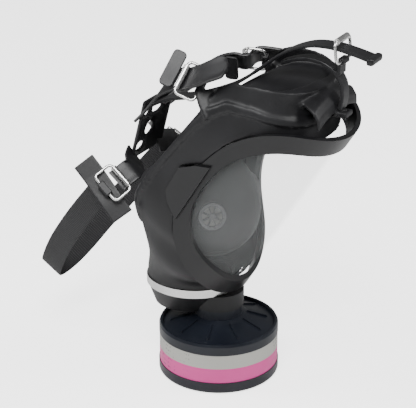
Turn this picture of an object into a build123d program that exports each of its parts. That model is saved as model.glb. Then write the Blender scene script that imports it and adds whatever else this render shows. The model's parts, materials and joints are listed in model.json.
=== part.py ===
from build123d import *
import math
import os

# Full face respirator with a screwed-on canister. Millimetres, +Z up.
# The origin is the centre of the canister's flat base. The mask faces -Y and X is across the face.
# The facepiece leans forward on the canister, so it is modelled upright and tilted about X.

# ---- driving dimensions ----
FACE_TILT = 32.0  # lean of the facepiece, degrees

CAN_RADIUS = 54.0
CAN_RIM = 47.5  # height of the canister's shoulder
BASE_HEIGHT = 11.0
PINK_TOP = 25.0
GRAY_TOP = 38.5
CAN_WALL = 1.2
NECK_FOOT = 57.0  # where the canister's cone meets its neck
NECK_RADIUS = 22.0
THREAD_RADIUS = 20.0
THREAD_FOOT = 65.5
THREAD_TOP = 77.5
RUN = 0.08  # running clearance on a radius

CHIN_Y = 28.0  # centre of the oval chin joint
CHIN_HALF_X = 38.0  # outside of the clamp band
CHIN_HALF_Y = 42.0
BAND_Z = 85.0
BAND_HEIGHT = 7.6
BAND_THICK = 0.8
RUBBER = 3.0
VALVE_Y = 42.0  # exhalation valve axis

LENS_RADIUS = 66.0  # outside of the visor's curved front
LENS_THICK = 2.5
LENS_AXIS = 96.0  # how far the visor's axis lies behind the wearer's datum
LENS_FLARE = 0.06
FRAME_RADIUS = 70.5
VISOR_SEAT_RADIUS = 69.7

WIRE = 1.3  # buckle wire radius
BUCKLE_WIDTH = 30.0
BUCKLE_DEPTH = 18.0
WIRE_BEND = 4.0
ROLLER_RADIUS = 2.7
STRAP_THICK = 2.0
STRAP_WIDTH = 24.0

EAR_SPLIT = 177.0  # height where the two frame halves meet, at the joint ears
EAR_X = 71.0
EAR_Y = 112.0

HOUSING_FOOT = 61.0
HOUSING_LIP = 80.9
PLUG_TOP = 90.0
CHIN_GAP = 0.3  # between the rubber and the band outside it, and between the rubber and the plug inside it
SHOULDER = 79.5  # what the canister's gasket seals against
COLLAR_RADIUS = 23.0
INLET_RADIUS = 13.5
INLET_Y = 5.0
EXHALE_SEAT = 70.5
WORM_BLOCK = (8.4, 12.0, 9.0)
WORM_RADIUS = 3.0
CUP_HALF = (52.0, 62.0, 50.0)  # nose cup, an ellipsoid
RIB_COUNT = 10

os.makedirs("parts", exist_ok=True)


# ---- helpers ----
def save(name, shape):
    shape.label = name
    export_step(shape, f"parts/{name}.step")


def lean(shape):
    """Tilts a shape modelled upright, as it sits on the wearer, into the part's frame."""
    return Rot(FACE_TILT, 0, 0) * shape


def ring(outer, inner, bottom, top, x=0.0, y=0.0):
    body = Cylinder(outer, top - bottom) - Cylinder(inner, top - bottom + 2)
    return Pos(x, y, (bottom + top) / 2) * body


def disc(radius, bottom, top, x=0.0, y=0.0):
    return Pos(x, y, (bottom + top) / 2) * Cylinder(radius, top - bottom)


def oval_prism(half_x, half_y, bottom, top):
    face = Pos(0, CHIN_Y, bottom) * Ellipse(half_x, half_y)
    return extrude(face, top - bottom)


def visor_prism(radius, low=60.0, high=320.0):
    """Upright solid inside a visor surface: round front, straight sides that flare backwards."""
    back = LENS_AXIS + 60.0
    half = radius + LENS_FLARE * 60.0
    front = RadiusArc((radius, LENS_AXIS), (-radius, LENS_AXIS), radius)
    sides = Polyline((-radius, LENS_AXIS), (-half, back), (half, back), (radius, LENS_AXIS))
    face = make_face(Curve() + [front, sides])
    return Pos(0, 0, low) * extrude(face, high - low, dir=(0, 0, 1))


def side_prism(points, straight=False, half=90.0):
    """Solid across the face whose side outline has the points (distance behind datum, height)."""
    spots = [(0, y, z) for y, z in points]
    if straight:
        edge = Polyline(*spots, spots[0])
    else:
        edge = Spline(*spots) + Polyline(spots[-1], spots[0])
    face = Face(Wire(edge.edges()))
    return extrude(face, half, dir=(1, 0, 0), both=True)


def tri_solid(rings):
    """Closed solid through rings of corner points, each side split in two triangles."""
    faces = []
    count = len(rings[0])
    for near, far in zip(rings, rings[1:]):
        for i in range(count):
            j = (i + 1) % count
            faces.append(Face(Wire.make_polygon([near[i], near[j], far[j]])))
            faces.append(Face(Wire.make_polygon([near[i], far[j], far[i]])))
    for end in (rings[0], rings[-1]):
        faces.append(Face(Wire.make_polygon([end[0], end[1], end[2]])))
        faces.append(Face(Wire.make_polygon([end[0], end[2], end[3]])))
    return Solid(Shell(faces))


def strap(stations, width=STRAP_WIDTH, thick=STRAP_THICK):
    """Flat strap through (centre, width direction) stations, thick across both."""
    centres = [Vector(*c) for c, _ in stations]
    rings = []
    for i, (_, across) in enumerate(stations):
        ahead = centres[min(i + 1, len(centres) - 1)] - centres[max(i - 1, 0)]
        w = Vector(*across).normalized()
        w = (w - ahead.normalized() * w.dot(ahead.normalized())).normalized()
        n = ahead.cross(w).normalized()
        a, b = w * (width / 2), n * (thick / 2)
        c = centres[i]
        rings.append([c - a - b, c + a - b, c + a + b, c - a + b])
    return tri_solid(rings)


def grown(points, step):
    """The outline points moved outwards by step, along each point's normal."""
    moved = []
    for i, (y, z) in enumerate(points):
        y0, z0 = points[max(i - 1, 0)]
        y1, z1 = points[min(i + 1, len(points) - 1)]
        along = math.hypot(y1 - y0, z1 - z0)
        moved.append((y + step * (z0 - z1) / along, z + step * (y1 - y0) / along))
    return [(min(moved[0][0], -5), moved[0][1])] + moved[1:-1] + [(min(moved[-1][0], -5), moved[-1][1])]


def visor_shell(outer, inner):
    return visor_prism(outer) - visor_prism(inner, 55, 325)


# ---- outlines of the facepiece from the side: (distance behind datum, height) ----
OPENING = [(-5, 262), (34, 261), (52, 257), (70, 244.5), (82, 228), (89, 210), (92, 190), (91, 168),
           (84.5, 150.5), (74, 136), (60, 124.5), (43, 113), (25, 100), (-5, 92)]
FRAME_EDGE = [(-5, 279), (29, 279.5), (54, 275.5), (78, 260), (95, 235), (104, 205), (106.5, 178), (101, 149),
              (87, 126), (66, 107), (42, 93), (20, 84.5), (-5, 80)]
JOINT_EAR = [(96, 209), (107, 202), (118, 190), (117, 164), (110, 155), (96, 146)]
BEAD_FRONT = [(127, 97), (135.5, 134), (134, 169), (130, 199), (126, 228), (121, 245), (111, 259), (92, 268),
              (53, 277.5), (30, 281)]
BEAD_BACK = [(30, 286), (53, 283), (95, 273.5), (117, 264), (127, 248), (131.5, 229), (135.5, 200), (139.5, 170),
             (141, 134), (133, 96)]
FACE_CUT = [(133.5, 90), (150, 108), (150, 138), (140.5, 169), (136.5, 200), (133, 229), (131, 248), (131, 266),
            (122, 278), (98, 291), (66, 300), (58, 340), (220, 340), (220, 80)]


# ---- rubber facepiece ----
def skin_face(centre_y, centre_z, slope, half_x, front, back, square):
    """Closed section across the facepiece: elliptical in front, squarer towards the face."""
    s = math.radians(slope)
    plane = Plane((0, centre_y, centre_z), x_dir=(1, 0, 0), z_dir=(0, -math.sin(s), math.cos(s)))
    points = []
    for i in range(24):
        t = math.radians(15 * i)
        c, d = math.cos(t), math.sin(t)
        power = 1 if d < 0 else 2 / square
        depth = front if d < 0 else back
        points.append((half_x * math.copysign(abs(c) ** power, c), depth * math.copysign(abs(d) ** power, d)))
    return plane * make_face(Spline(*points, periodic=True))


def upright_face(centre, height, half_x, front, back, square):
    t = math.radians(FACE_TILT)
    y = centre * math.cos(t) - height * math.sin(t)
    z = centre * math.sin(t) + height * math.cos(t)
    return skin_face(y, z, FACE_TILT, half_x, front, back, square)


def skin(step, bottom, top):
    """The facepiece's outer form grown by step: oval chin, face-shaped middle, narrowing at the brow."""
    hx = CHIN_HALF_X - BAND_THICK - CHIN_GAP + step
    hy = CHIN_HALF_Y - BAND_THICK - CHIN_GAP + step
    sections = [
        skin_face(CHIN_Y, bottom, 0, hx, hy, hy, 2),
        skin_face(CHIN_Y, BAND_Z, 0, hx, hy, hy, 2),
        skin_face(CHIN_Y, BAND_Z + 5.5, 0, hx, hy, hy, 2),
        skin_face(19, 109, 12, 50 + step, 44 + step, 44 + step, 2.2),
        skin_face(12, 131, 22, 62 + step, 47 + step, 53 + step, 2.6),
        upright_face(92, 125, 68 + step, 59 + step, 55 + step, 4),
        upright_face(96, 160, 70 + step, 63 + step, 54 + step, 5),
        upright_face(96, 215, 70.5 + step, 63 + step, 52 + step, 5),
        upright_face(96, 258, 66 + step, 62.5 + step, 48 + step, 4.5),
        upright_face(96, 272, 62 + step, 51 + step, 46 + step, 4),
        upright_face(96, top, 50 + step, 30 + step, 44 + step, 3),
    ]
    return loft(sections)


def lug(centre, along, out, width, size):
    """Block lug round a buckle's base bar, with the bar's bore through it."""
    plane = Plane(centre, x_dir=along, z_dir=out)
    return plane * (Box(width, size, size) - Rot(0, 90, 0) * Cylinder(WIRE + RUN, width + 4))


def rubber():
    hollow = skin(-RUBBER, BAND_Z - 8, 320)
    shell = skin(0, BAND_Z - 4.1, 303) - hollow
    shell -= lean(side_prism(grown(OPENING, 6)))
    mount = visor_shell(VISOR_SEAT_RADIUS, LENS_RADIUS - 6) & side_prism(grown(FRAME_EDGE, 3))
    mount += visor_shell(VISOR_SEAT_RADIUS, LENS_RADIUS - 4) & Pos(0, 108, EAR_SPLIT) * Box(200, 28, 71)
    mount -= side_prism(OPENING)
    bead = skin(2.5, BAND_Z - 4.1, 303) - hollow
    bead &= lean(side_prism(BEAD_FRONT + BEAD_BACK, straight=True))
    body = shell + lean(mount) + bead
    frame_zone = side_prism(FRAME_EDGE) + side_prism(JOINT_EAR, straight=True)
    body -= lean(visor_shell(95, LENS_RADIUS + 0.1) & frame_zone)
    body -= lean(visor_shell(LENS_RADIUS + 0.1, LENS_RADIUS - LENS_THICK - 0.1) & side_prism(grown(OPENING, 4.2)))
    return body - lean(side_prism(FACE_CUT, straight=True, half=110))


# ---- visor, frames and their fasteners ----
def visor_parts():
    lens = visor_shell(LENS_RADIUS, LENS_RADIUS - LENS_THICK) & side_prism(grown(OPENING, 4))
    rim = visor_shell(FRAME_RADIUS, LENS_RADIUS + 0.2) & side_prism(FRAME_EDGE)
    rim -= side_prism(OPENING)
    rim += visor_shell(FRAME_RADIUS + 3, LENS_RADIUS + 0.2) & side_prism(JOINT_EAR, straight=True)
    upper_half = Pos(0, 80, EAR_SPLIT + 100) * Box(200, 200, 200)
    screws = []
    nuts = []
    for side in (-1, 1):
        axis = Pos(side * EAR_X, EAR_Y, EAR_SPLIT)
        rim -= axis * Cylinder(1.6, 60)
        rim -= axis * (Pos(0, 0, 10 + 15) * Cylinder(3.2, 30) + Pos(0, 0, -10 - 15) * Cylinder(3.4, 30))
        screws.append(lean(axis * (Pos(0, 0, -0.5) * Cylinder(1.5, 24) + Pos(0, 0, 11.5) * Cylinder(2.9, 3))))
        hexagon = extrude(RegularPolygon(3.0, 6), 2.4)
        nuts.append(lean(axis * Pos(0, 0, -12.4) * (hexagon - Cylinder(1.5, 10))))
    save("visor_lens", lean(lens))
    save("upper_lens_frame", lean(rim & upper_half))
    save("lower_lens_frame", lean(rim - upper_half))
    save("frame_screws", Compound(children=screws))
    save("frame_nuts", Compound(children=nuts))


# ---- chin connector: housing, clamp band and its screw ----
def chin_parts():
    bowl_top = Pos(0, CHIN_Y, HOUSING_LIP) * Ellipse(CHIN_HALF_X - 1, CHIN_HALF_Y - 1)
    bowl_foot = Pos(0, 33, HOUSING_FOOT) * Ellipse(26, 30)
    housing = loft([bowl_foot, bowl_top])
    half_x = CHIN_HALF_X - BAND_THICK - RUBBER - 2 * CHIN_GAP
    half_y = CHIN_HALF_Y - BAND_THICK - RUBBER - 2 * CHIN_GAP
    housing += oval_prism(half_x, half_y, HOUSING_LIP, PLUG_TOP)
    housing += disc(COLLAR_RADIUS, THREAD_FOOT + 0.5, HOUSING_LIP)
    housing -= disc(THREAD_RADIUS + RUN, 50, SHOULDER)
    housing -= disc(NECK_RADIUS + 0.6, 50, THREAD_FOOT + 0.4)
    housing -= disc(INLET_RADIUS, SHOULDER - 1, PLUG_TOP + 1, y=INLET_Y)
    housing -= disc(14, EXHALE_SEAT, PLUG_TOP + 1, y=VALVE_Y)
    housing -= disc(17, HOUSING_FOOT - 1, EXHALE_SEAT + 1.5, y=VALVE_Y)
    save("chin_housing", housing)

    low, high = BAND_Z - BAND_HEIGHT / 2, BAND_Z + BAND_HEIGHT / 2
    band = oval_prism(CHIN_HALF_X, CHIN_HALF_Y, low, high)
    band -= oval_prism(CHIN_HALF_X - BAND_THICK, CHIN_HALF_Y - BAND_THICK, low - 1, high + 1)
    save("clamp_band", band)
    worm_x = CHIN_HALF_X + WORM_BLOCK[0] / 2 + 0.05
    axis = Pos(worm_x, CHIN_Y, BAND_Z) * Rot(90, 0, 0)
    save("worm_housing", Pos(worm_x, CHIN_Y, BAND_Z) * Box(*WORM_BLOCK) - axis * Cylinder(WORM_RADIUS + RUN, 40))
    head = extrude(RegularPolygon(4.2, 6), 4) - Pos(0, 0, 3) * Box(1.0, 12, 3)
    save("worm_screw", axis * (Cylinder(WORM_RADIUS, 17) + Pos(0, 0, 8.5) * head))


def spoked_seat(outer, inner, thick, pin, pin_length, spokes=4):
    """Valve seat about +Z: ring, thin spokes and a pin standing on its hub."""
    seat = Cylinder(outer, thick) - Cylinder(inner, thick + 1)
    for i in range(spokes):
        seat += Rot(0, 0, 360 / spokes * i) * Pos(inner / 2, 0, 0) * Box(inner + 1, 1.0, thick)
    seat += Cylinder(2.6, thick)
    seat += Pos(0, 0, thick / 2 + pin_length / 2) * Cylinder(pin, pin_length)
    return seat


def flap(radius, thick, pin):
    return Cylinder(radius, thick) - Cylinder(pin + RUN, thick + 1)


def valve_parts():
    down = Rot(180, 0, 0)
    save("exhalation_seat", Pos(0, VALVE_Y, EXHALE_SEAT + 0.75) * down * spoked_seat(16.9, 11.5, 1.5, 1.5, 4.5))
    save("exhalation_disc", Pos(0, VALVE_Y, EXHALE_SEAT - 0.7) * flap(13.5, 1.2, 1.5))
    cover = disc(16.9, HOUSING_FOOT, HOUSING_FOOT + 1.5, y=VALVE_Y)
    for i in range(12):
        slot = Pos(0, VALVE_Y, HOUSING_FOOT) * Rot(0, 0, 30 * i) * Pos(10, 0, 0) * Box(8, 2, 8)
        cover -= slot
    save("exhalation_cover", cover)
    save("inlet_seat", Pos(0, INLET_Y, 86) * spoked_seat(INLET_RADIUS - 0.1, 10, 2, 1.5, 4.5))
    save("inlet_flap", Pos(0, INLET_Y, 87.7) * flap(11.5, 1.2, 1.5))

    centre = Vector(0, 108, 130)
    core = Pos(*centre) * scale(Sphere(1), by=tuple(v - 2.0 for v in CUP_HALF))
    cup = Pos(*centre) * scale(Sphere(1), by=CUP_HALF) - core
    cup -= Pos(0, 208, 130) * Box(200, 200, 200)
    cup = lean(cup)
    duct = disc(14.2, PLUG_TOP + 0.1, 132, y=VALVE_Y) - lean(core)
    cup = cup + duct - disc(12.4, PLUG_TOP - 1, 134, y=VALVE_Y)
    for side, word in ((-1, "right"), (1, "left")):
        t = math.radians(FACE_TILT)
        spot = Vector(side * 40, 77.2, 150.5)
        out = Vector(side * 0.79, -0.43, 0.43)
        spot = Vector(spot.X, spot.Y * math.cos(t) - spot.Z * math.sin(t), spot.Y * math.sin(t) + spot.Z * math.cos(t))
        out = Vector(out.X, out.Y * math.cos(t) - out.Z * math.sin(t), out.Y * math.sin(t) + out.Z * math.cos(t))
        plane = Plane(spot, x_dir=(0, 1, 0.3), z_dir=out * -1)
        cup -= plane * Cylinder(12.05, 40)
        save(f"cup_valve_seat_{word}", plane * spoked_seat(12, 9, 3, 1.2, 3.5, spokes=8))
        save(f"cup_valve_flap_{word}", plane * Pos(0, 0, 2.1) * flap(10, 1.0, 1.2))
    save("nose_cup", cup)


# ---- canister ----
def canister_parts():
    base = disc(CAN_RADIUS + 1, 0, BASE_HEIGHT)
    base = fillet(base.edges().group_by(Axis.Z)[0], 3.5)
    base -= disc(CAN_RADIUS, 2, BASE_HEIGHT + 1)
    for count, radius in ((6, 14), (12, 28), (18, 41)):
        for i in range(count):
            base -= Rot(0, 0, 360 / count * i) * Pos(radius, 0, 1) * Cylinder(2.5, 6)
    save("canister_base", base)
    save("canister_body", ring(CAN_RADIUS, CAN_RADIUS - CAN_WALL, 2, 44.5))
    save("label_band_pink", ring(CAN_RADIUS + 0.3, CAN_RADIUS, BASE_HEIGHT, PINK_TOP))
    save("label_band_gray", ring(CAN_RADIUS + 0.3, CAN_RADIUS, PINK_TOP, GRAY_TOP))
    r = CAN_RADIUS
    profile = [(r, GRAY_TOP), (r + 0.6, GRAY_TOP), (r + 0.6, CAN_RIM - 1), (r - 0.5, CAN_RIM + 1.3),
               (r - 2.5, CAN_RIM + 1.3), (r - 3.5, CAN_RIM - 1), (27, 54.6), (NECK_RADIUS, NECK_FOOT),
               (NECK_RADIUS, THREAD_FOOT), (THREAD_RADIUS, THREAD_FOOT), (THREAD_RADIUS, THREAD_TOP),
               (16.5, THREAD_TOP), (16.5, 57), (r - 1.5, 44.5), (r, 44.5)]
    lid = revolve(make_face(Plane.XZ * Polyline(*profile, close=True)), Axis.Z)
    for i in range(RIB_COUNT):
        rib = Plane.XZ * Polyline((26, 54), (26, 56.2), (44, 50.4), (45, 48), close=True)
        rib = extrude(make_face(rib), 0.6, both=True)
        lid += Rot(0, 0, 360 / RIB_COUNT * (i + 0.4)) * rib
    save("canister_lid", lid)
    inner = r - CAN_WALL - 0.1
    save("particulate_filter", disc(inner, 3, 13.9))
    save("carbon_bed", disc(inner, 15.1, 39.9))
    sheets = [disc(inner, 14, 15), disc(inner, 40, 41)]
    save("retaining_screens", Compound(children=sheets))
    save("filter_gasket", ring(19.6, 15, THREAD_TOP + 0.1, SHOULDER - 0.1))


# ---- buckles: base bar centre, direction of the bars, direction from base bar to roller ----
BUCKLES = {
    "forehead": ((0, -115.5, 314.5), (1, 0, 0), (0, 0.12, 0.99)),
    "temple_right": ((-57, -12.8, 292.4), (0.687, -0.134, 0.714), (-0.22, 0.898, 0.381)),
    "temple_left": ((61, -14, 281), (0.55, 0.25, -0.80), (-0.3, 0.95, 0.09)),
    "jaw_right": ((-68, 76.5, 187), (-0.17, -0.82, -0.55), (0.72, -0.48, 0.51)),
    "jaw_left": ((68, 76.5, 187), (-0.17, 0.82, 0.55), (-0.72, -0.48, 0.51)),
}


def buckle_plane(name):
    base, bars, depth = BUCKLES[name]
    return Plane(base, x_dir=bars, z_dir=Vector(*bars).cross(Vector(*depth)))


def buckle_parts():
    """Each buckle is a bent wire frame, held by its lug on one bar, with a roller on the other."""
    half, d = BUCKLE_WIDTH / 2, BUCKLE_DEPTH
    path = FilletPolyline((0.4, 0), (half, 0), (half, d), (-half, d), (-half, 0), (-0.4, 0), radius=WIRE_BEND)
    wire = sweep(Plane((0.4, 0), z_dir=(1, 0, 0)) * Circle(WIRE), path=path)
    roller = Rot(0, 90, 0) * (Cylinder(ROLLER_RADIUS, 21) - Cylinder(WIRE + RUN, 30))
    for name in BUCKLES:
        plane = buckle_plane(name)
        save(f"buckle_{name}", plane * wire)
        save(f"roller_{name}", plane * Pos(0, d, 0) * roller)


# ---- harness: stations are (centre, direction across the strap) ----
def mirrored(stations):
    return [((-x, y, z), (-a, b, c)) for (x, y, z), (a, b, c) in stations]


TEMPLE_BAR = (0.687, -0.134, 0.714)
TEMPLE_BAR_LEFT = (-0.55, -0.25, 0.80)
JAW_BAR = (-0.17, -0.82, -0.55)
TAB_ACROSS = (0.57, -0.70, 0.41)
TEMPLE_STRAP = {
    "right": [((-20, 66, 243), (0.3, -0.6, 0.75)), ((-38, 44, 264), (0.5, -0.45, 0.74)),
              ((-47.5, 27, 283), (0.62, -0.3, 0.74)), ((-52, 16, 292), TEMPLE_BAR),
              ((-54.4, 10.4, 294.2), TEMPLE_BAR)],
    "left": [((20, 66, 240), (-0.3, -0.6, 0.75)), ((36, 46, 259), (-0.45, -0.45, 0.76)),
             ((45, 26, 275), (-0.52, -0.3, 0.8)), ((47.9, 15.3, 280.8), TEMPLE_BAR_LEFT),
             ((49.4, 11.5, 280.8), TEMPLE_BAR_LEFT)],
}
TEMPLE_TAIL = {
    "right": [((-55.6, 7.7, 294.9), TEMPLE_BAR), ((-58.5, 1.5, 296.5), TEMPLE_BAR), ((-62, -12, 302.5), (0.7, 0, 0.7)),
              ((-64, -26, 310), (0.72, 0.15, 0.67)), ((-65, -41, 317), (0.73, 0.22, 0.65))],
    "left": [((50.2, 9, 280.7), TEMPLE_BAR_LEFT), ((51.9, 2.7, 279.9), TEMPLE_BAR_LEFT),
             ((54.9, -1.7, 280.7), TEMPLE_BAR_LEFT), ((64, -7.1, 285.2), TEMPLE_BAR_LEFT),
             ((68.3, -15.3, 285.6), TEMPLE_BAR_LEFT), ((71.3, -27.9, 283.7), TEMPLE_BAR_LEFT),
             ((74, -40.5, 281.7), TEMPLE_BAR_LEFT)],
}
JAW_STRAP = [((-20, 74, 203), (-0.1, -0.6, -0.8)), ((-31, 68.5, 201.6), (-0.15, -0.75, -0.65)),
             ((-39.5, 62.5, 199.6), JAW_BAR), ((-44.9, 64.3, 198.6), JAW_BAR)]
JAW_STRAP_END = [((-46.8, 65.5, 197.2), JAW_BAR), ((-52.1, 69.2, 193.4), JAW_BAR), ((-56.1, 71.8, 190.6), JAW_BAR)]
JAW_TAB = [((-66.5, 60, 163.5), TAB_ACROSS), ((-65, 72, 175.5), TAB_ACROSS), ((-62.8, 81.4, 184), TAB_ACROSS),
           ((-60.5, 92.5, 194.5), TAB_ACROSS), ((-59.5, 103.5, 205), TAB_ACROSS)]
NECK_STRAP = [((-60.5, 89, 177), JAW_BAR), ((-58, 107, 155), JAW_BAR), ((-51, 125, 133), JAW_BAR),
              ((-40, 145, 107), (-0.1, -0.83, -0.55)), ((-27, 162, 82), (-0.05, -0.83, -0.55)),
              ((-12, 172, 68), (0, -0.83, -0.55))]
TEMPLE_LUG = {
    "right": [((-58.2, -16.2, 289.4), TEMPLE_BAR), ((-63, -22, 281), TEMPLE_BAR), ((-66.5, -30, 271), TEMPLE_BAR)],
    "left": [((62, -17, 277.5), TEMPLE_BAR_LEFT), ((64.5, -22, 274), TEMPLE_BAR_LEFT),
             ((66.5, -30, 268), TEMPLE_BAR_LEFT)],
}
LUG_STRAP = [((0, -115.5, 272.4), (1, 0, 0)), ((0, -117.5, 283), (1, 0, 0)), ((0, -116, 295), (1, 0, 0)),
             ((0, -109.5, 304.5), (1, 0, 0)), ((0, -98, 310.5), (1, 0, 0)), ((0, -84, 312), (1, 0, 0)),
             ((0, -71, 309), (1, 0, 0)), ((0, -60, 304.5), (1, 0, 0))]
FOREHEAD_STRAP = [((0, 69, 244), (1, 0, 0)), ((0, 48, 255), (1, 0, 0)), ((0, 21, 262), (1, 0, 0)),
                  ((0, -10, 275), (1, 0, 0)), ((0, -30, 288), (1, 0, 0)), ((0, -43.5, 299), (1, 0, 0)),
                  ((0, -65, 315), (1, 0, 0)), ((0, -86.5, 324), (1, 0, 0)), ((0, -107, 325.5), (1, 0, 0))]
FOREHEAD_TAIL = [((0, -109, 325.4), (1, 0, 0)), ((0, -125, 323), (1, 0, 0)), ((0, -141, 319.5), (1, 0, 0))]
PAD = [((-26, 66, 228), 50), ((-20, 71, 225), 58), ((-10, 76.5, 222), 60), ((0, 78, 221), 60),
       ((10, 76.5, 222), 60), ((20, 71, 225), 58), ((26, 66, 228), 50)]


def head_pad():
    """Curved plate behind the crown, upright across the back of the head."""
    rings = []
    for (x, y, z), height in PAD:
        up = Vector(0, -0.25, 0.97) * (height / 2)
        deep = Vector(-x / 120, 1, 0.2).normalized() * 1.25
        c = Vector(x, y, z)
        rings.append([c - up - deep, c + up - deep, c + up + deep, c - up + deep])
    return tri_solid(rings)


def harness_parts():
    pad = head_pad()
    save("head_pad", pad)
    save("forehead_strap", strap(FOREHEAD_STRAP, width=18) - pad)
    bar = Pos(0, -142.5, 319) * Rot(0, 90, 0) * Cylinder(3.2, 22)
    save("forehead_strap_tail", strap(FOREHEAD_TAIL, width=18) + bar)
    keeper = lug(BUCKLES["forehead"][0], (1, 0, 0), (0, -0.99, 0.12), 12, 5.4)
    link = Pos(0, -113.5, 307.5) * Box(12, 3.4, 9)
    plain = strap(LUG_STRAP, width=12, thick=3)
    save("lug_strap", plain + keeper + (link - Pos(*BUCKLES["forehead"][0]) * Box(20, 5.3, 5.3)))
    save("neck_strap", strap(NECK_STRAP + mirrored(NECK_STRAP)[::-1]))
    for word in ("right", "left"):
        own = (lambda stations: stations) if word == "right" else mirrored
        save(f"temple_strap_{word}", strap(TEMPLE_STRAP[word], width=22) - pad)
        save(f"temple_strap_tail_{word}", strap(TEMPLE_TAIL[word], width=22))
        save(f"jaw_strap_{word}", strap(own(JAW_STRAP), width=22) - pad)
        save(f"jaw_strap_end_{word}", strap(own(JAW_STRAP_END), width=22))
        base, bars, _ = BUCKLES[f"jaw_{word}"]
        holder = lug(base, bars, buckle_plane(f"jaw_{word}").z_dir, 14, 6.4)
        holder += buckle_plane(f"jaw_{word}") * Pos(0, 0, -5) * Box(10, 6, 4.2)
        save(f"jaw_tab_{word}", strap(own(JAW_TAB), width=20, thick=2.5) + holder)
        plane = buckle_plane(f"temple_{word}")
        tab = extrude(RectangleRounded(34, 12, 4), 2.2)
        save(f"temple_tab_{word}", plane * Pos(6, 28.8, -10.2) * tab)


def facepiece_part():
    body = rubber()
    for word in ("right", "left"):
        base, bars, _ = BUCKLES[f"temple_{word}"]
        out = buckle_plane(f"temple_{word}").z_dir
        body += strap(TEMPLE_LUG[word], width=16, thick=5) + lug(base, bars, out, 16, 6.4)
        body -= Plane(base, x_dir=bars, z_dir=out) * Rot(0, 90, 0) * Cylinder(WIRE + RUN, 24)
    body += Pos(0, -112.5, 268) * Box(14, 20, 5) - Pos(0, -118, 268) * Box(8, 4, 9)
    save("face_blank", body)


facepiece_part()
visor_parts()
chin_parts()
valve_parts()
canister_parts()
buckle_parts()
harness_parts()
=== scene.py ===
"""Looks of the full face respirator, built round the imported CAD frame."""

import json
import math

import bmesh
import bpy
import numpy as np
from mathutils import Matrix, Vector
from mathutils.bvhtree import BVHTree


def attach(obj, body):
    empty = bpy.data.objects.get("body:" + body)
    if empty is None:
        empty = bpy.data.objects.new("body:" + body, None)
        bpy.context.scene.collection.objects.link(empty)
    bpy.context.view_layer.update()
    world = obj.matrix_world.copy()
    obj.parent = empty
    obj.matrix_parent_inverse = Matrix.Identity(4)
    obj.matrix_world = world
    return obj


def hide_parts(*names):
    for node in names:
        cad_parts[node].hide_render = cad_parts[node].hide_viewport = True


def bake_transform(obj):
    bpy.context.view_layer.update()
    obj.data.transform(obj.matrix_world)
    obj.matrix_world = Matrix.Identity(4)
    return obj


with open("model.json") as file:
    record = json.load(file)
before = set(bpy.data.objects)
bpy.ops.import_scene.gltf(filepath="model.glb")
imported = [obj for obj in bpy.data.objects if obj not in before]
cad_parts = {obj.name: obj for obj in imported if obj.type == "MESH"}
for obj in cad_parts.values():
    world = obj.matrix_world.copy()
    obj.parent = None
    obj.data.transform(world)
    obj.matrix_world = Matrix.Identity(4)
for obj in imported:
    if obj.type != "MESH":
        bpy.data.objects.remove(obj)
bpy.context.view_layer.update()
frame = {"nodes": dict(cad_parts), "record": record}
NODES = frame["nodes"]
MM = 0.001


# ---------------------------------------------------------------- materials
def new_material(name):
    mat = bpy.data.materials.new(name)
    mat.use_nodes = True
    return mat, mat.node_tree.nodes, mat.node_tree.links, mat.node_tree.nodes["Principled BSDF"]


def noise(nodes, links, scale, detail=4.0, stretch=(1, 1, 1), coords="Object"):
    where = nodes.new("ShaderNodeTexCoord")
    place = nodes.new("ShaderNodeMapping")
    place.inputs["Scale"].default_value = stretch
    links.new(where.outputs[coords], place.inputs["Vector"])
    tex = nodes.new("ShaderNodeTexNoise")
    tex.inputs["Scale"].default_value = scale
    tex.inputs["Detail"].default_value = detail
    links.new(place.outputs["Vector"], tex.inputs["Vector"])
    return tex


def ramp(nodes, links, source, low, high, start=0.3, stop=0.7):
    """A colour ramp from low to high, each a colour or a single value."""
    node = nodes.new("ShaderNodeValToRGB")
    ends = node.color_ramp.elements
    for end, value, spot in ((ends[0], low, start), (ends[1], high, stop)):
        value = (value,) * 3 if isinstance(value, float) else value
        end.color = (*value, 1)
        end.position = spot
    links.new(source, node.inputs["Fac"])
    return node.outputs["Color"]


def bump(nodes, links, shader, source, depth, strength=1.0, under=None):
    node = nodes.new("ShaderNodeBump")
    node.inputs["Distance"].default_value = depth
    node.inputs["Strength"].default_value = strength
    links.new(source, node.inputs["Height"])
    if under is not None:
        links.new(under, node.inputs["Normal"])
    links.new(node.outputs["Normal"], shader.inputs["Normal"])
    return node.outputs["Normal"]


def surface(name, low, high, rough, grain=900.0, depth=0.00006, metal=0.0, blotch=30.0,
            stretch=(1, 1, 1)):
    """Moulded or metal surface: blotched colour, uneven gloss and a fine grain."""
    mat, nodes, links, shader = new_material(name)
    wide = noise(nodes, links, blotch, 5.0)
    fine = noise(nodes, links, grain, 3.0, stretch)
    links.new(ramp(nodes, links, wide.outputs["Fac"], low, high), shader.inputs["Base Color"])
    uneven = ramp(nodes, links, wide.outputs["Fac"], rough[0], rough[1], 0.25, 0.75)
    links.new(uneven, shader.inputs["Roughness"])
    bump(nodes, links, shader, fine.outputs["Fac"], depth)
    shader.inputs["Metallic"].default_value = metal
    return mat


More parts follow.
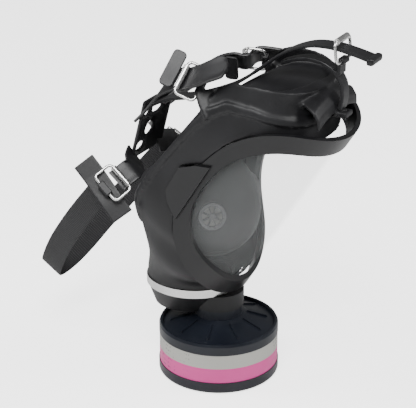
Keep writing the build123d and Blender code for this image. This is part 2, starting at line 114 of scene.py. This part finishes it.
def webbing_material():
    """Woven strap: ribs across it, from its UV map in metres."""
    mat, nodes, links, shader = new_material("webbing")
    uv = nodes.new("ShaderNodeTexCoord")
    ribs = nodes.new("ShaderNodeTexWave")
    ribs.bands_direction = "Y"
    ribs.inputs["Scale"].default_value = 150.0
    ribs.inputs["Distortion"].default_value = 0.6
    ribs.inputs["Detail"].default_value = 2.0
    links.new(uv.outputs["UV"], ribs.inputs["Vector"])
    cross = nodes.new("ShaderNodeTexWave")
    cross.bands_direction = "X"
    cross.inputs["Scale"].default_value = 420.0
    links.new(uv.outputs["UV"], cross.inputs["Vector"])
    both = nodes.new("ShaderNodeMath")
    both.operation = "MULTIPLY_ADD"
    both.inputs[1].default_value = 0.3
    links.new(cross.outputs["Fac"], both.inputs[0])
    links.new(ribs.outputs["Fac"], both.inputs[2])
    colour = ramp(nodes, links, both.outputs[0], (0.005, 0.005, 0.006), (0.026, 0.026, 0.028), 0.1, 0.9)
    links.new(colour, shader.inputs["Base Color"])
    bump(nodes, links, shader, both.outputs[0], 0.0004)
    shader.inputs["Roughness"].default_value = 0.62
    return mat


def lens_material():
    mat, nodes, links, shader = new_material("visor_clear")
    scuff = noise(nodes, links, 55.0, 8.0, (1, 1, 3))
    links.new(ramp(nodes, links, scuff.outputs["Fac"], 0.03, 0.10, 0.4, 0.8), shader.inputs["Roughness"])
    shader.inputs["Base Color"].default_value = (0.74, 0.77, 0.77, 1)
    shader.inputs["Alpha"].default_value = 0.075
    shader.inputs["IOR"].default_value = 1.5
    return mat


def band_material(name, colour, ink):
    """Printed label: ink smudges in two rows of small blocks, with no lettering."""
    mat, nodes, links, shader = new_material(name)
    where = nodes.new("ShaderNodeTexCoord")
    place = nodes.new("ShaderNodeMapping")
    place.inputs["Scale"].default_value = (1, 1, 0.35)
    links.new(where.outputs["Object"], place.inputs["Vector"])
    cells = nodes.new("ShaderNodeTexVoronoi")
    cells.inputs["Scale"].default_value = 520.0
    links.new(place.outputs["Vector"], cells.inputs["Vector"])
    rows = nodes.new("ShaderNodeTexWave")
    rows.bands_direction = "Z"
    rows.inputs["Scale"].default_value = 75.0
    links.new(where.outputs["Object"], rows.inputs["Vector"])
    gate = nodes.new("ShaderNodeMath")
    gate.operation = "MULTIPLY"
    links.new(ramp(nodes, links, cells.outputs["Distance"], 1.0, 0.0, 0.25, 0.5), gate.inputs[0])
    links.new(ramp(nodes, links, rows.outputs["Fac"], 0.0, 1.0, 0.62, 0.72), gate.inputs[1])
    patches = noise(nodes, links, 26.0, 2.0, (1, 1, 0.2))
    some = nodes.new("ShaderNodeMath")
    some.operation = "MULTIPLY"
    links.new(gate.outputs[0], some.inputs[0])
    links.new(ramp(nodes, links, patches.outputs["Fac"], 0.0, 1.0, 0.46, 0.54), some.inputs[1])
    links.new(ramp(nodes, links, some.outputs[0], colour, ink, 0.2, 0.8), shader.inputs["Base Color"])
    paper = noise(nodes, links, 700.0, 3.0)
    bump(nodes, links, shader, paper.outputs["Fac"], 0.00003)
    shader.inputs["Roughness"].default_value = 0.38
    return mat


RUBBER = surface("facepiece_rubber", (0.006, 0.006, 0.007), (0.013, 0.013, 0.015), (0.42, 0.55))
STRAP = surface("strap_rubber", (0.008, 0.008, 0.009), (0.018, 0.018, 0.020), (0.34, 0.48), 700.0, 0.00008)
PAD = surface("pad_rubber", (0.007, 0.007, 0.008), (0.015, 0.015, 0.017), (0.45, 0.6), 800.0, 0.0001)
CUP = surface("cup_rubber", (0.009, 0.009, 0.010), (0.019, 0.019, 0.021), (0.45, 0.6))
FRAME = surface("frame_plastic", (0.006, 0.006, 0.007), (0.011, 0.011, 0.012), (0.26, 0.36), 1500.0, 0.00003)
HOUSING = surface("housing_plastic", (0.007, 0.007, 0.008), (0.014, 0.014, 0.015), (0.4, 0.5), 1200.0,
                  0.00005)
CANISTER = surface("canister_plastic", (0.005, 0.007, 0.012), (0.010, 0.013, 0.021), (0.28, 0.38), 1400.0,
                   0.00003)
STEEL = surface("steel", (0.80, 0.80, 0.79), (0.93, 0.93, 0.92), (0.20, 0.32), 900.0, 0.00003,
                1.0, 60.0, (1, 1, 14))
SCREW = surface("screw_steel", (0.35, 0.35, 0.35), (0.5, 0.5, 0.5), (0.3, 0.45), 900.0, 0.00003, 1.0)
VALVE = surface("valve_plastic", (0.09, 0.09, 0.095), (0.14, 0.14, 0.145), (0.4, 0.5), 1200.0)
SILICONE = surface("valve_rubber", (0.30, 0.30, 0.28), (0.40, 0.40, 0.37), (0.5, 0.6))
PAPER = surface("filter_paper", (0.72, 0.71, 0.66), (0.85, 0.84, 0.79), (0.8, 0.9), 500.0, 0.0003)
CARBON = surface("carbon", (0.008, 0.008, 0.008), (0.03, 0.03, 0.03), (0.6, 0.8), 450.0, 0.0008)
SCREEN = surface("screen_steel", (0.35, 0.35, 0.35), (0.5, 0.5, 0.5), (0.35, 0.5), 1600.0, 0.0002, 1.0)
GASKET = surface("gasket_rubber", (0.02, 0.02, 0.02), (0.035, 0.035, 0.035), (0.5, 0.6))
WEBBING = webbing_material()
LENS = lens_material()
PINK = band_material("band_pink", (0.80, 0.075, 0.35), (0.40, 0.02, 0.15))
GRAY = band_material("band_gray", (0.49, 0.49, 0.45), (0.16, 0.16, 0.15))
BY_SLOT = {
    "facepiece_rubber": RUBBER, "visor": LENS, "frame_plastic": FRAME, "screw_steel": SCREW,
    "housing_plastic": HOUSING, "steel": STEEL, "valve_plastic": VALVE, "valve_rubber": SILICONE,
    "cup_rubber": CUP, "canister_plastic": CANISTER, "band_pink": PINK, "band_gray": GRAY,
    "filter_paper": PAPER, "carbon": CARBON, "screen_steel": SCREEN, "gasket_rubber": GASKET,
    "strap_rubber": STRAP, "pad_rubber": PAD, "webbing": WEBBING,
}


def shade_by_angle(obj, degrees=35):
    limit = math.radians(degrees)
    mesh = bmesh.new()
    mesh.from_mesh(obj.data)
    for face in mesh.faces:
        face.smooth = True
    for edge in mesh.edges:
        edge.smooth = len(edge.link_faces) != 2 or edge.calc_face_angle(0) < limit
    mesh.to_mesh(obj.data)
    mesh.free()


for part in frame["record"]["subparts"]:
    node = NODES[part["node"]]
    node.data.materials.clear()
    node.data.materials.append(BY_SLOT[part["material_slot"]])


# ---------------------------------------------------------------- mesh tools
def add_object(name, mesh, material):
    data = bpy.data.meshes.new(name)
    mesh.to_mesh(data)
    mesh.free()
    obj = bpy.data.objects.new(name, data)
    bpy.context.scene.collection.objects.link(obj)
    data.materials.append(material)
    return obj


def smooth_path(stations, steps):
    """Catmull-Rom through (centre, across) stations, in metres."""
    rows = [np.array([*c, *Vector(a).normalized()], float) for c, a in stations]
    rows = [2 * rows[0] - rows[1]] + rows + [2 * rows[-1] - rows[-2]]
    out = []
    for i in range(1, len(rows) - 2):
        p0, p1, p2, p3 = rows[i - 1:i + 3]
        for k in range(steps):
            t = k / steps
            out.append(0.5 * (2 * p1 + (p2 - p0) * t + (2 * p0 - 5 * p1 + 4 * p2 - p3) * t * t
                              + (3 * p1 - p0 - 3 * p2 + p3) * t ** 3))
    out.append(rows[-2])
    return [(Vector(r[:3]) * MM, Vector(r[3:]).normalized()) for r in out]


def ribbon_mesh(stations, width, thick, steps=8, tips=(0, 0), lip=0.0):
    """Strap with rounded edges through the stations (mm), with rounded tips and raised lips where asked."""
    path = smooth_path(stations, steps)
    centres = [c for c, _ in path]
    along = [0.0]
    for a, b in zip(centres, centres[1:]):
        along.append(along[-1] + (b - a).length)
    whole = along[-1]
    half, deep = width * MM / 2, thick * MM / 2
    mesh = bmesh.new()
    uv = mesh.loops.layers.uv.new("UVMap")
    profile = [(-1, 0), (-0.99, 0.5), (-0.955, 0.9), (-0.9, 1), (-0.75, 1), (-0.4, 1), (0, 1), (0.4, 1),
               (0.75, 1), (0.9, 1), (0.955, 0.9), (0.99, 0.5), (1, 0), (0.99, -0.5), (0.955, -0.9),
               (0.9, -1), (0.75, -1), (0.4, -1), (0, -1), (-0.4, -1), (-0.75, -1), (-0.9, -1),
               (-0.955, -0.9), (-0.99, -0.5)]
    rings = []
    for i, (c, w) in enumerate(path):
        ahead = (centres[min(i + 1, len(path) - 1)] - centres[max(i - 1, 0)]).normalized()
        w = (w - ahead * w.dot(ahead)).normalized()
        n = ahead.cross(w)
        s = along[i]
        grow = 1.0
        for end, radius in ((s, tips[0] * MM), (whole - s, tips[1] * MM)):
            if radius and end < radius:
                grow *= max(math.sqrt(max(1 - (1 - end / radius) ** 2, 0)), 0.25)
        ring = []
        for x, y in profile:
            raised = deep * (y + math.copysign(lip, y) * (0.8 < abs(x) < 0.97) if y else 0)
            ring.append(mesh.verts.new(c + w * (half * grow * x) + n * raised))
        rings.append(ring)
    count = len(profile)
    for i, (a, b) in enumerate(zip(rings, rings[1:])):
        for j in range(count):
            k = (j + 1) % count
            face = mesh.faces.new((a[j], a[k], b[k], b[j]))
            spots = ((j, i), (k, i), (k, i + 1), (j, i + 1))
            for loop, (p, r) in zip(face.loops, spots):
                loop[uv].uv = (profile[p][0] * half, along[r])
    mesh.faces.new(rings[0][::-1])
    mesh.faces.new(rings[-1])
    bmesh.ops.recalc_face_normals(mesh, faces=mesh.faces)
    return mesh


def ribbon(name, slot, stations, width, thick, **more):
    obj = add_object(name, ribbon_mesh(stations, width, thick, **more), BY_SLOT[slot])
    shade_by_angle(obj, 50)
    return obj


def node_mesh(name):
    mesh = bmesh.new()
    mesh.from_mesh(NODES[name].data)
    bmesh.ops.remove_doubles(mesh, verts=mesh.verts, dist=2e-6)
    return mesh


def box_mesh(centre, x, y, z, size, bevel=0.0):
    """Box of size (mm) along the three directions."""
    mesh = bmesh.new()
    bmesh.ops.create_cube(mesh, size=1)
    axes = [Vector(v).normalized() for v in (x, y, z)]
    for v in mesh.verts:
        spot = v.co.copy()
        v.co = (Vector(centre) + sum((axes[i] * spot[i] * size[i] for i in range(3)), Vector())) * MM
    if bevel:
        bmesh.ops.bevel(mesh, geom=mesh.edges[:], offset=bevel * MM, segments=3, affect="EDGES", profile=0.5)
    return mesh


def moulded(name, slot, meshes, voxel, rounds):
    """One smooth moulded piece from closed meshes, by a voxel remesh and smoothing."""
    whole = bmesh.new()
    for mesh in meshes:
        data = bpy.data.meshes.new("part")
        mesh.to_mesh(data)
        mesh.free()
        whole.from_mesh(data)
        bpy.data.meshes.remove(data)
    obj = add_object(name, whole, BY_SLOT[slot])
    remesh = obj.modifiers.new("remesh", "REMESH")
    remesh.mode = "VOXEL"
    remesh.voxel_size = voxel * MM
    ease = obj.modifiers.new("ease", "SMOOTH")
    ease.factor = 0.5
    ease.iterations = rounds
    bpy.context.view_layer.update()
    graph = bpy.context.evaluated_depsgraph_get()
    final = bpy.data.meshes.new_from_object(obj.evaluated_get(graph))
    obj.modifiers.clear()
    obj.data = final
    for poly in final.polygons:
        poly.use_smooth = True
    if not final.materials:
        final.materials.append(BY_SLOT[slot])
    return obj


# ---------------------------------------------------------------- camera, light, floor
CAMERA_AT, LENS_MM = (-1.187, -0.620, 0.732), 141.5
azimuth, elevation = math.radians(-62), math.radians(23.04)
back = Vector((math.sin(azimuth) * math.cos(elevation), -math.cos(azimuth) * math.cos(elevation),
               math.sin(elevation)))
camera = bpy.data.objects.new("camera", bpy.data.cameras.new("camera"))
camera.data.sensor_width = 36
camera.data.lens = LENS_MM
camera.location = CAMERA_AT
camera.rotation_mode = "QUATERNION"
camera.rotation_quaternion = (-back).to_track_quat("-Z", "Y")
bpy.context.scene.collection.objects.link(camera)
bpy.context.scene.camera = camera

world = bpy.data.worlds.new("studio")
bpy.context.scene.world = world
world.use_nodes = True
SEEN, FELT = 2.5, 0.2  # sky strength straight to the camera, and as light on the part
sky = world.node_tree.nodes["Background"]
sky.inputs["Color"].default_value = (1, 1, 1, 1)
ray = world.node_tree.nodes.new("ShaderNodeLightPath")
level = world.node_tree.nodes.new("ShaderNodeMapRange")
level.inputs["To Min"].default_value = FELT
level.inputs["To Max"].default_value = SEEN
world.node_tree.links.new(ray.outputs["Is Camera Ray"], level.inputs["Value"])
world.node_tree.links.new(level.outputs["Result"], sky.inputs["Strength"])
FLOOR_GLOW = 2.6
MIDDLE = Vector((0, 0.02, 0.17))
for name, direction, size, power in (
    ("key", (-0.9, -0.35, 1.3), 0.7, 22),
    ("front", (0.5, -1.3, 0.9), 0.6, 10),
    ("rear", (-0.6, 1.0, 0.9), 0.5, 10),
):
    light = bpy.data.lights.new(name, "AREA")
    light.size, light.energy = size, power
    lamp = bpy.data.objects.new(name, light)
    lamp.location, lamp.rotation_mode = MIDDLE + Vector(direction), "QUATERNION"
    lamp.rotation_quaternion = (-Vector(direction)).to_track_quat("-Z", "Y")
    bpy.context.scene.collection.objects.link(lamp)

floor_mesh = bmesh.new()
bmesh.ops.create_grid(floor_mesh, x_segments=1, y_segments=1, size=3)
floor_data = bpy.data.meshes.new("floor")
floor_mesh.to_mesh(floor_data)
floor_mesh.free()
floor = bpy.data.objects.new("floor", floor_data)
floor.location.z = -0.0003
bpy.context.scene.collection.objects.link(floor)
floor_mat, floor_nodes, floor_links, floor_shader = new_material("floor")
floor_shader.inputs["Base Color"].default_value = (0.93, 0.93, 0.93, 1)
floor_shader.inputs["Roughness"].default_value = 0.9
floor_shader.inputs["Emission Color"].default_value = (1, 1, 1, 1)
floor_ray = floor_nodes.new("ShaderNodeLightPath")
floor_glow = floor_nodes.new("ShaderNodeMath")  # lifts the paper to white for the camera alone
floor_glow.operation = "MULTIPLY"
floor_glow.inputs[1].default_value = FLOOR_GLOW
floor_links.new(floor_ray.outputs["Is Camera Ray"], floor_glow.inputs[0])
floor_links.new(floor_glow.outputs[0], floor_shader.inputs["Emission Strength"])
floor_data.materials.append(floor_mat)

# ---------------------------------------------------------------- harness stations (mm), as in the CAD
BAR_R, BAR_L = (0.687, -0.134, 0.714), (-0.55, -0.25, 0.80)
JAW_BAR, TAB_ACROSS = (-0.17, -0.82, -0.55), (0.57, -0.70, 0.41)
TEMPLE = {
    "right": [((-20, 66, 243), (0.3, -0.6, 0.75)), ((-38, 44, 264), (0.5, -0.45, 0.74)),
              ((-47.5, 27, 283), (0.62, -0.3, 0.74)), ((-54.4, 10.4, 294.2), BAR_R),
              ((-58.5, 1.5, 296.5), BAR_R), ((-62, -12, 302.5), (0.7, 0, 0.7)),
              ((-64, -26, 310), (0.72, 0.15, 0.67)), ((-65, -41, 317), (0.73, 0.22, 0.65))],
    "left": [((20, 66, 240), (-0.3, -0.6, 0.75)), ((36, 46, 259), (-0.45, -0.45, 0.76)),
             ((45, 26, 275), (-0.52, -0.3, 0.8)), ((49.4, 11.5, 280.8), BAR_L), ((51.9, 2.7, 279.9), BAR_L),
             ((54.9, -1.7, 280.7), BAR_L), ((64, -7.1, 285.2), BAR_L), ((71.3, -27.9, 283.7), BAR_L),
             ((74, -40.5, 281.7), BAR_L)],
}
JAW = [((-20, 74, 203), (-0.1, -0.6, -0.8)), ((-31, 68.5, 201.6), (-0.15, -0.75, -0.65)),
       ((-39.5, 62.5, 199.6), JAW_BAR), ((-44.9, 64.3, 198.6), JAW_BAR), ((-52.1, 69.2, 193.4), JAW_BAR),
       ((-56.1, 71.8, 190.6), JAW_BAR)]
JAW_TAB = [((-66.5, 60, 163.5), TAB_ACROSS), ((-65, 72, 175.5), TAB_ACROSS), ((-62.8, 81.4, 184), TAB_ACROSS),
           ((-60.5, 92.5, 194.5), TAB_ACROSS), ((-59.5, 103.5, 205), TAB_ACROSS)]
NECK = [((-60.5, 89, 177), JAW_BAR), ((-58, 107, 155), JAW_BAR), ((-51, 125, 133), JAW_BAR),
        ((-40, 145, 107), (-0.1, -0.83, -0.55)), ((-27, 162, 82), (-0.05, -0.83, -0.55)),
        ((-12, 172, 68), (0, -0.83, -0.55))]
ACROSS = (1, 0, 0)
LUG = [((0, y, z), ACROSS)
       for y, z in ((-115.5, 272.4), (-117.5, 283), (-116, 295), (-109.5, 304.5), (-98, 310.5),
                    (-84, 312), (-71, 309), (-60, 304.5))]
FOREHEAD = [((0, y, z), ACROSS)
            for y, z in ((69, 244), (48, 255), (21, 262), (-10, 275), (-30, 288), (-43.5, 299), (-65, 315),
                         (-86.5, 324), (-107, 325.5), (-125, 323), (-141, 319.5))]


def mirrored(stations):
    return [((-x, y, z), (-a, b, c)) for (x, y, z), (a, b, c) in stations]


# ---------------------------------------------------------------- rubber facepiece
BROW_LINE = ((-113, 270), (-112, 279), (-107.5, 286), (-95, 290), (-76, 292.5), (-60, 292.5),
             (-43.5, 290), (-30, 283.5), (-20, 277))  # the roof's middle, y and z in mm
ROOF_DROP = 7  # how far its sides fall below its middle, mm


def brow_dome():
    """Rubber roof over the brow, spanning the facepiece's side walls."""
    blank = node_mesh("face_blank")
    walls = BVHTree.FromBMesh(blank)
    blank.free()
    reach, across, sheet, rows = 40 * MM, 12, bmesh.new(), []
    for y, z in BROW_LINE:
        hit = walls.ray_cast(Vector((0, y, z - ROOF_DROP)) * MM, Vector((1, 0, 0)))[0]
        if hit is not None:
            reach = hit.x + 1.2 * MM
        row = []
        for k in range(-across, across + 1):
            t = k / across
            row.append(sheet.verts.new((reach * t, y * MM, (z - ROOF_DROP * t * t) * MM)))
        rows.append(row)
    for a, b in zip(rows, rows[1:]):
        for k in range(2 * across):
            sheet.faces.new((a[k], a[k + 1], b[k + 1], b[k]))
    bmesh.ops.recalc_face_normals(sheet, faces=sheet.faces)
    bmesh.ops.solidify(sheet, geom=sheet.faces[:], thickness=2.8 * MM)
    return sheet


facepiece = moulded("facepiece_moulding", "facepiece_rubber", [node_mesh("face_blank"), brow_dome()], 1.3, 5)
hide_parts("face_blank")
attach(facepiece, "facepiece")

cup = moulded("nose_cup_moulding", "cup_rubber", [node_mesh("nose_cup")], 1.2, 4)
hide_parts("nose_cup")
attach(cup, "facepiece")

# ---------------------------------------------------------------- straps
for word in ("right", "left"):
    strip = ribbon(f"temple_strap_run_{word}", "strap_rubber", TEMPLE[word], 22, 2, tips=(0, 7), lip=0.35)
    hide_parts(f"temple_strap_{word}", f"temple_strap_tail_{word}")
    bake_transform(strip)

    own = (lambda stations: stations) if word == "right" else mirrored
    strip = ribbon(f"jaw_strap_run_{word}", "strap_rubber", own(JAW), 22, 2, lip=0.35)
    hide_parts(f"jaw_strap_{word}", f"jaw_strap_end_{word}")
    start, stop = own(JAW)[1][0], own(JAW)[3][0]
    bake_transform(strip)

    tab = moulded(f"jaw_tab_moulding_{word}", "strap_rubber",
                  [ribbon_mesh(own(JAW_TAB), 20, 2.5, tips=(8, 8)), node_mesh(f"jaw_tab_{word}")], 0.6, 4)
    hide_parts(f"jaw_tab_{word}")
    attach(tab, "facepiece")
    tab = moulded(f"temple_tab_moulding_{word}", "strap_rubber", [node_mesh(f"temple_tab_{word}")], 0.5, 4)
    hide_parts(f"temple_tab_{word}")
    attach(tab, "facepiece")

strip = ribbon("forehead_strap_run", "strap_rubber", FOREHEAD, 18, 2, lip=0.35)
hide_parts("forehead_strap", "forehead_strap_tail")
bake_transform(strip)
grip = moulded("forehead_grip", "strap_rubber", [box_mesh((0, -142.5, 319), (1, 0, 0), (0, 1, 0), (0, 0, 1),
                                                          (22, 6.4, 6.4), 2)], 0.5, 3)
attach(grip, "forehead_buckle")
loop = moulded("lug_strap_moulding", "strap_rubber",
               [ribbon_mesh(LUG, 12, 3), node_mesh("lug_strap")], 0.6, 4)
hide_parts("lug_strap")
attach(loop, "facepiece")
neck = ribbon("neck_webbing", "webbing", NECK + mirrored(NECK)[::-1], 24, 2)
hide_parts("neck_strap")
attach(neck, "facepiece")


def head_pad():
    """Curved plate with openings between its arms, rounded at its rim."""
    spots = [(-26, 66, 228, 50), (-20, 71, 225, 58), (-10, 76.5, 222, 60), (0, 78, 221, 60),
             (10, 76.5, 222, 60), (20, 71, 225, 58), (26, 66, 228, 50)]
    holes = [(-13, 17, 4.5, 5), (0, 18, 4, 5), (13, 17, 4.5, 5),
             (-9, -3, 4, 7), (9, -3, 4, 7), (0, -18, 6, 4)]
    xs = [s[0] for s in spots]
    mesh = bmesh.new()
    grid = {}
    across, rise = 52, 60
    for i in range(across + 1):
        x = -26 + 52 * i / across
        y, z, tall = (float(np.interp(x, xs, [s[k] for s in spots])) for k in (1, 2, 3))
        for j in range(rise + 1):
            h = (j / rise - 0.5) * tall
            grid[i, j] = mesh.verts.new(Vector((x, y - 0.25 * h, z + 0.97 * h)) * MM)
    for i in range(across):
        for j in range(rise):
            x, h = -26 + 52 * (i + 0.5) / across, (j + 0.5) / rise * 60 - 30
            if all(((x - a) / c) ** 2 + ((h - b) / d) ** 2 > 1 for a, b, c, d in holes):
                mesh.faces.new((grid[i, j], grid[i + 1, j], grid[i + 1, j + 1], grid[i, j + 1]))
    bmesh.ops.delete(mesh, geom=[v for v in mesh.verts if not v.link_faces], context="VERTS")
    obj = add_object("head_pad_moulding", mesh, PAD)
    thick = obj.modifiers.new("thick", "SOLIDIFY")
    thick.thickness, thick.offset = 0.0025, 0
    ease = obj.modifiers.new("ease", "SMOOTH")
    ease.iterations = 6
    graph = bpy.context.evaluated_depsgraph_get()
    final = bpy.data.meshes.new_from_object(obj.evaluated_get(graph))
    obj.modifiers.clear()
    obj.data = final
    shade_by_angle(obj, 60)
    return obj


pad = head_pad()
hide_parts("head_pad")
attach(pad, "facepiece")
